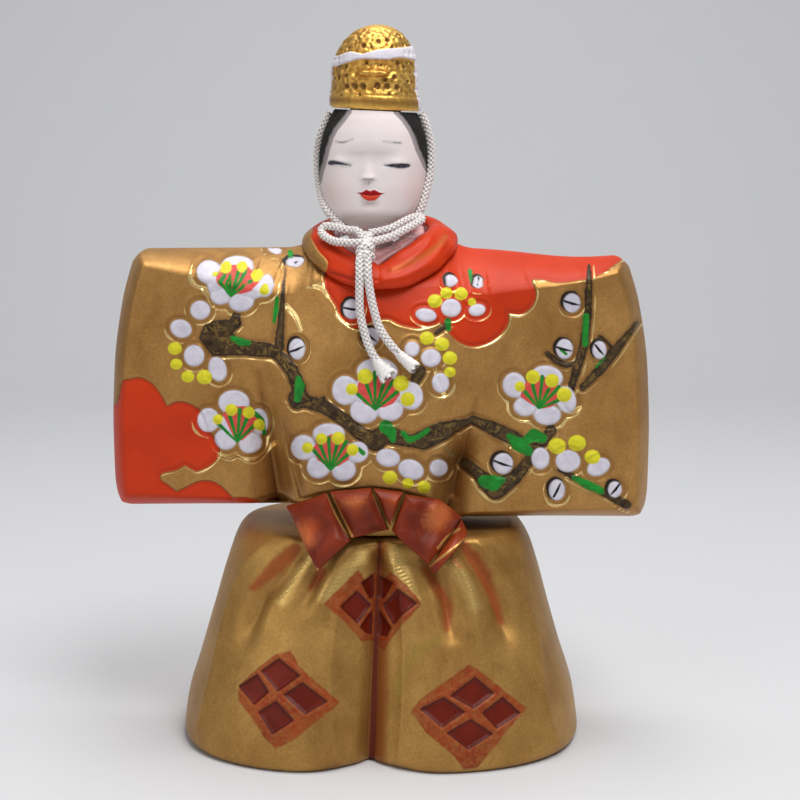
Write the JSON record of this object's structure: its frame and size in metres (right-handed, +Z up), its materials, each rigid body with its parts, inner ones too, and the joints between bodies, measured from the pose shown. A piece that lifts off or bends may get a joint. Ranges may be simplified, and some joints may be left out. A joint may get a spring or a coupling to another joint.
{
  "type": "hina doll",
  "caption": "Standing hina doll: wide-sleeved painted robe, bell-shaped trousers, sash bow, separate head with a domed cap and a tied chin cord.",
  "frame": {"origin": "middle of the doll's bounding box, on the plane it stands on", "axes": "+Z up, the doll faces -Y, its own left side is at +X"},
  "size_m": [0.129, 0.0809, 0.1691],
  "materials": {
    "trouser_gold": "matte olive gold paint over earthenware",
    "robe_gold": "gold paint over earthenware, brushed, soft metallic sheen",
    "collar_red": "satin vermilion paint over earthenware",
    "collar_pink": "glossy pink paint over earthenware",
    "sash_russet": "satin russet paint over earthenware",
    "face_white": "matte white shell paint over earthenware",
    "cap_gold": "bright gold over dimpled earthenware",
    "peg_wood": "bare turned wood",
    "cord_white": "soft braided cord"
  },
  "bodies": {
    "body": {"hakama": "trouser_gold", "robe_body": "robe_gold", "right_sleeve": "robe_gold", "left_sleeve": "robe_gold", "round_collar": "collar_red", "under_collar": "collar_pink", "sash_right_loop": "sash_russet", "sash_knot": "sash_russet", "sash_fold": "sash_russet", "sash_left_loop": "sash_russet", "sash_loop_mouth": "sash_russet"},
    "neck_peg": {"neck_peg": "peg_wood", "cord_tail_right": "cord_white", "cord_tail_left": "cord_white"},
    "head": {"head": "face_white", "cap": "cap_gold", "cheek_cord_right": "cord_white", "cheek_cord_left": "cord_white", "cord_knot": "cord_white", "cord_loop_right": "cord_white", "cord_loop_left": "cord_white"}
  },
  "joints": [
    {"name": "head_lift", "type": "slide", "parent": "body", "child": "neck_peg", "axis": [0, 0, 1], "range_m": [0, 0.016]},
    {"name": "head_turn", "type": "hinge", "parent": "neck_peg", "child": "head", "pos_m": [-0.0028, 0.0005, 0.1145], "axis": [0, 0, 1], "range_deg": [-10, 10], "deforming": ["cord_tail_right", "cord_tail_left"]}
  ]
}
